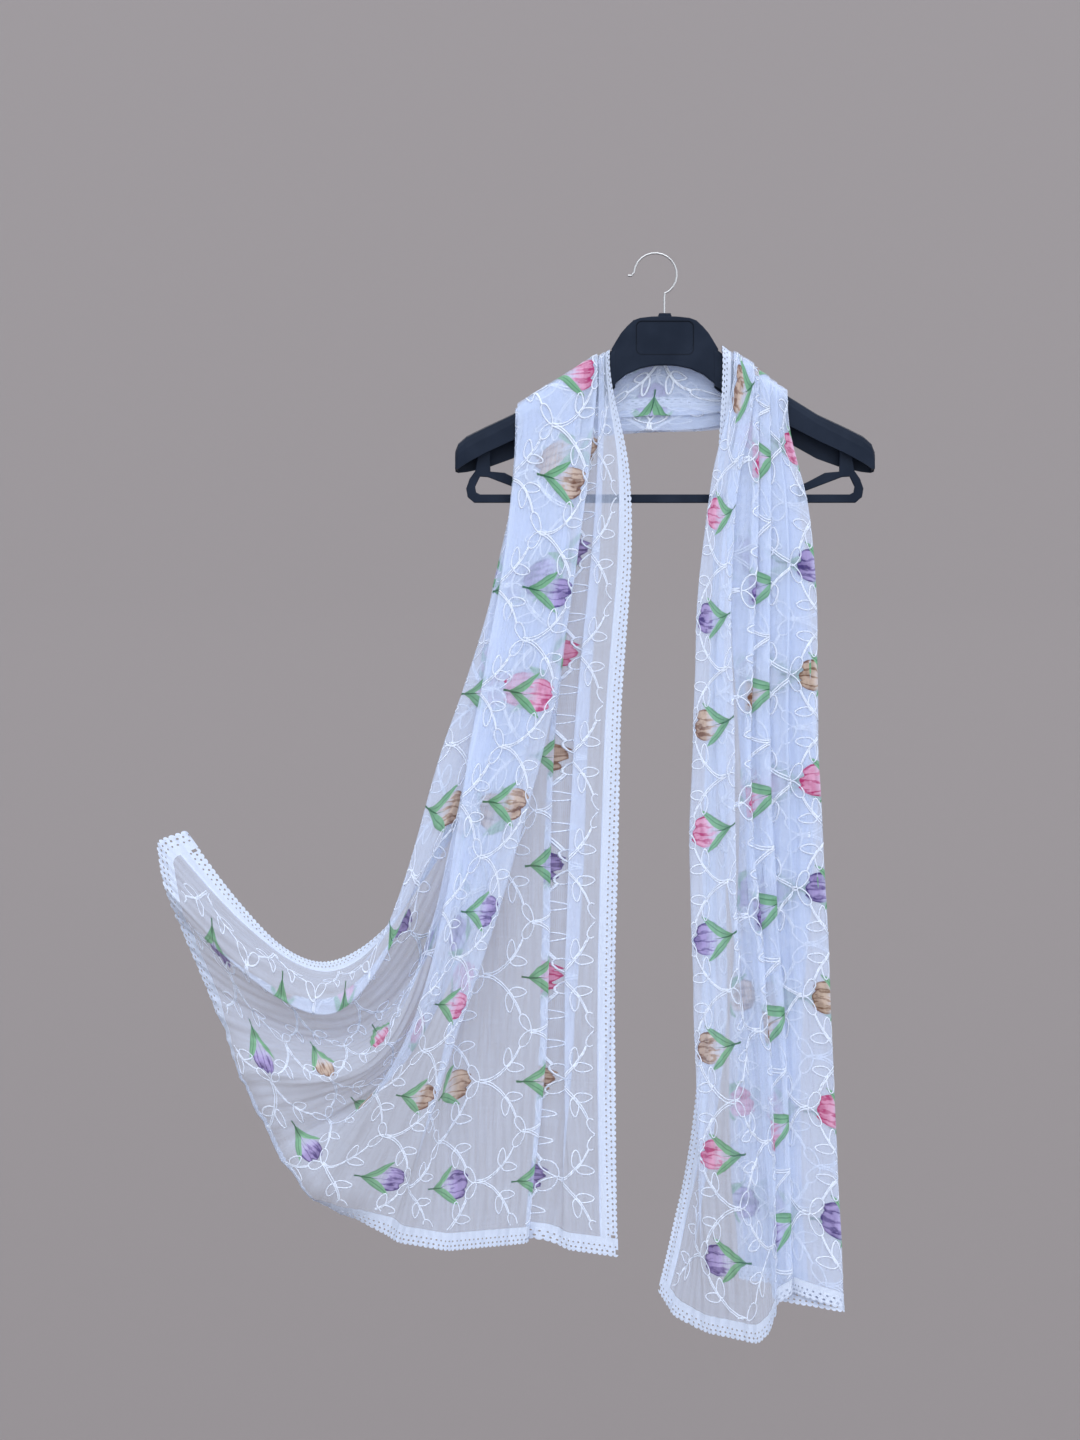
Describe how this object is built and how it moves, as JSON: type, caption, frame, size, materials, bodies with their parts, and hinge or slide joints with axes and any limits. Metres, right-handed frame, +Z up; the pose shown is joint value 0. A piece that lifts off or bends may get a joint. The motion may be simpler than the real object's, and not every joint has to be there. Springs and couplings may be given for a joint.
{
  "type": "dupatta stole on a clothes hanger",
  "caption": "Long sheer stole with a lace edging, worn round the neck of a moulded clothes hanger, one end straight and the other swept out in swags.",
  "frame": {"origin": "inside top of the hanger's hook, where a rail carries it", "axes": "+Z up, the longest extent; +X to the viewer's right along the hanger's bar; -Y to the viewer"},
  "size_m": [0.7498, 0.0968, 1.1413],
  "materials": {
    "chiffon": "sheer, matt, printed and embroidered",
    "lace": "white crochet-look edging",
    "moulded_plastic": "dark navy, satin",
    "steel_wire": "bright"
  },
  "bodies": {
    "root": {"stole_left": "chiffon", "stole_neck": "chiffon", "stole_right": "chiffon", "lace_inner_left": "lace", "lace_inner_neck": "lace", "lace_inner_right": "lace", "lace_outer_left": "lace", "lace_outer_neck": "lace", "lace_outer_right": "lace", "lace_hem_left": "lace", "lace_hem_right": "lace", "hanger_body": "moulded_plastic", "hanger_bar": "moulded_plastic", "hanger_hook": "steel_wire"}
  },
  "joints": []
}
